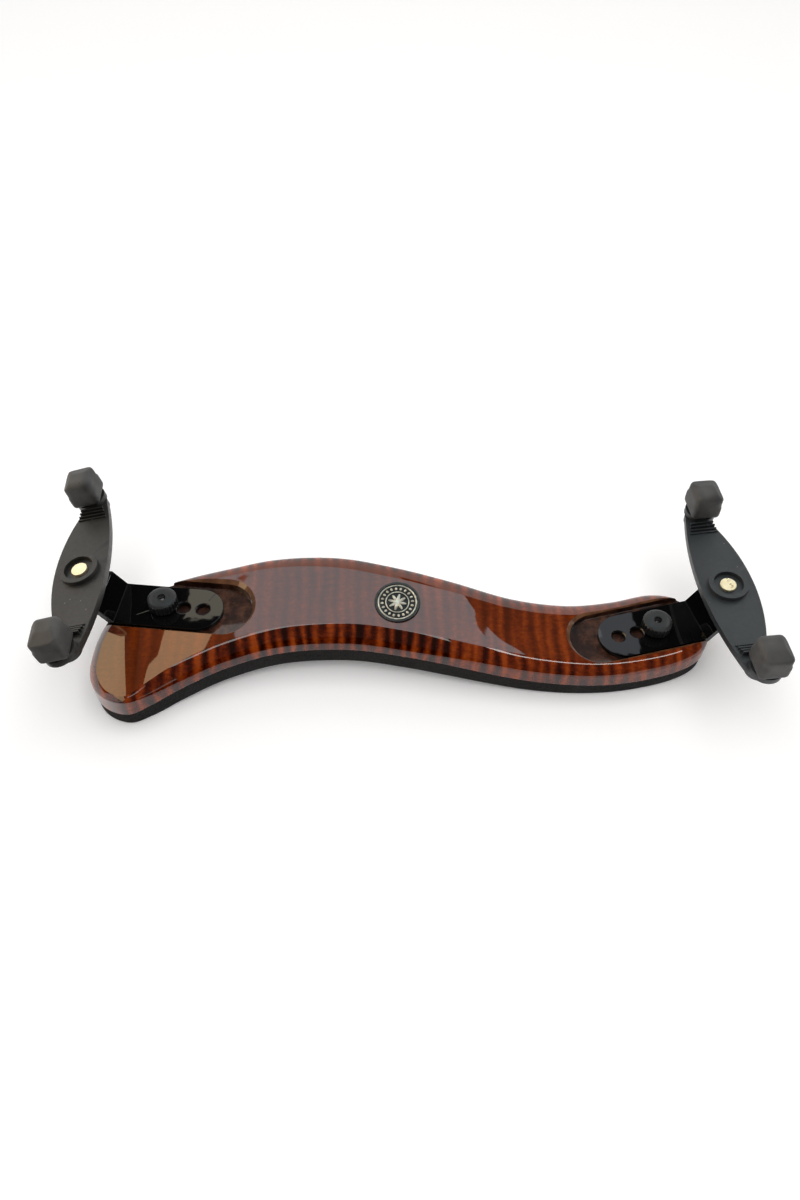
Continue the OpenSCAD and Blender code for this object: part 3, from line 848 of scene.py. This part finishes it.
def card(name, points, colour=(0, 0, 0), strength=0.0, height=1.5):
    """A flat card that only reflections see: glowing, or black. In metres; 2-D points lie at one height."""
    bm = bmesh.new()
    bm.faces.new([bm.verts.new((*p, height)[:3]) for p in points])
    ob = new_object(name, bm)
    m = bpy.data.materials.new(name)
    m.use_nodes = True
    t = m.node_tree
    t.nodes.remove(t.nodes["Principled BSDF"])
    em = t.nodes.new("ShaderNodeEmission")
    em.inputs["Color"].default_value = (*colour, 1)
    em.inputs["Strength"].default_value = strength
    t.links.new(em.outputs[0], t.nodes["Material Output"].inputs["Surface"])
    ob.data.materials.append(m)
    ob.visible_camera = ob.visible_diffuse = ob.visible_shadow = ob.visible_transmission = False


def rectangle(x0, x1, y0, y1):
    """Corners of a rectangle."""
    return [(x0, y0), (x1, y0), (x1, y1), (x0, y1)]


def wall(x0, y0, x1, y1, z0, z1):
    """Corners of an upright rectangle."""
    return [(x0, y0, z0), (x1, y1, z0), (x1, y1, z1), (x0, y0, z1)]


def floor_flag():
    """A black card on the floor in front of the hollow of the S, which keeps the front shoulder dark."""
    gap = 24 + 110 * soft((LOOP[:, 0] - 2) / 55)
    near = [i for i in range(N // 2) if -101 < LOOP[i, 0] < 70]
    edge = [(Vector((*(LOOP[i, :2] - gap[i] * INWARD[i]), 0)) + SHIFT) * MM for i in near]
    card("flag_floor", [tuple(p.xy) for p in edge] + [(0.6, -1.2), (-1.4, -1.2)], height=0.0004)


WARM, COOL, WHITE = (1.0, 0.72, 0.42), (0.68, 0.92, 1.0), (1, 1, 1)
make_floor()
make_room()
top_light()
# the window behind the bar and the warm lamp and wall on the left
card("window", [(-0.52, 0.86), (-0.46, 0.72), (-0.42, 0.62), (-0.34, 0.50), (-0.05, 0.36), (0.30, 0.40),
                (0.62, 0.60), (0.67, 0.68), (0.715, 0.722), (0.66, 0.735), (0.45, 0.74), (0.2, 0.74),
                (-0.2, 0.86)], COOL, 2.4)
card("warm_card", [(-0.565, 0.68), (-0.46, 0.665), (-0.475, 0.62), (-0.52, 0.60), (-0.61, 0.555),
                   (-0.69, 0.50), (-0.68, 0.56), (-0.64, 0.59), (-0.59, 0.62)], WARM, 3.6)
card("warm_wall", wall(-1.5, -1.0, -1.5, 1.2, 0.38, 1.2), WARM, 3.2)
# the lights in the crease
card("strip_l", rectangle(-1.1, 0.1, -0.62, -0.50), (1, 0.98, 0.95), 4)
card("strip_r", rectangle(0.1, 1.1, -0.25, -0.16), (1, 0.98, 0.95), 9)
# the lights in the forks and in the plates' round ends
card("glint_r", rectangle(0.88, 1.3, 0.98, 1.14), WHITE, 11)
card("glint_l", rectangle(-0.97, -1.4, 0.98, 1.14), WHITE, 11)
card("end_card_l", [(-0.50, 1.20), (-0.40, 1.20), (-0.40, 1.36), (-0.485, 1.36)], (1.0, 0.93, 0.74),
     1.9, 1.49)
card("end_card_r", rectangle(0.38, 0.52, 0.99, 1.22), (0.92, 0.95, 1.0), 2.0, 1.49)
card("end_card_s", rectangle(0.52, 0.60, 1.02, 1.2), (0.88, 0.92, 1.0), 1.1, 1.49)
# black cards that keep the brackets, the forks and the shoulder dark
card("flag_l", rectangle(-0.95, -0.36, 1.05, 1.55))
card("flag_r", rectangle(0.38, 0.85, 1.0, 1.5))
card("flag_east", wall(2.1, 0.45, 1.75, 1.2, 0, 0.6))
floor_flag()
card("flag_south", wall(-0.9, -1.2, 0.6, -1.2, 0, 0.3))
card("flag_west", wall(-2.1, 0.35, -1.8, 1.15, 0, 0.7))


# ---- camera ---------------------------------------------------------------------------
ELEVATION, AZIMUTH, ROLL = math.radians(51.1), math.radians(-4.3), math.radians(-1.4)
DISTANCE, AIM = 343.7, Vector((0, 0, 13.995))  # mm
FOCAL, FRAME_H, SENSOR = 998.4, 1200, 36  # focal length and height of the frame in pixels, sensor in mm


def make_camera():
    back = Vector((math.sin(AZIMUTH) * math.cos(ELEVATION), -math.cos(AZIMUTH) * math.cos(ELEVATION),
                   math.sin(ELEVATION)))
    level = (-back).cross(Vector((0, 0, 1))).normalized()
    upright = level.cross(-back)
    right = math.cos(ROLL) * level - math.sin(ROLL) * upright
    up = math.sin(ROLL) * level + math.cos(ROLL) * upright
    lens = bpy.data.cameras.new("camera")
    lens.sensor_width, lens.lens = SENSOR, FOCAL * SENSOR / FRAME_H
    lens.clip_start, lens.clip_end = 0.01, 20
    camera = bpy.data.objects.new("camera", lens)
    scene.collection.objects.link(camera)
    turned = Matrix((right, up, back)).transposed().to_4x4()
    camera.matrix_world = Matrix.Translation((AIM + DISTANCE * back + SHIFT) * MM) @ turned
    scene.camera = camera
    scene.view_settings.view_transform = "Standard"
    scene.view_settings.look = "None"


make_camera()
bpy.context.view_layer.update()
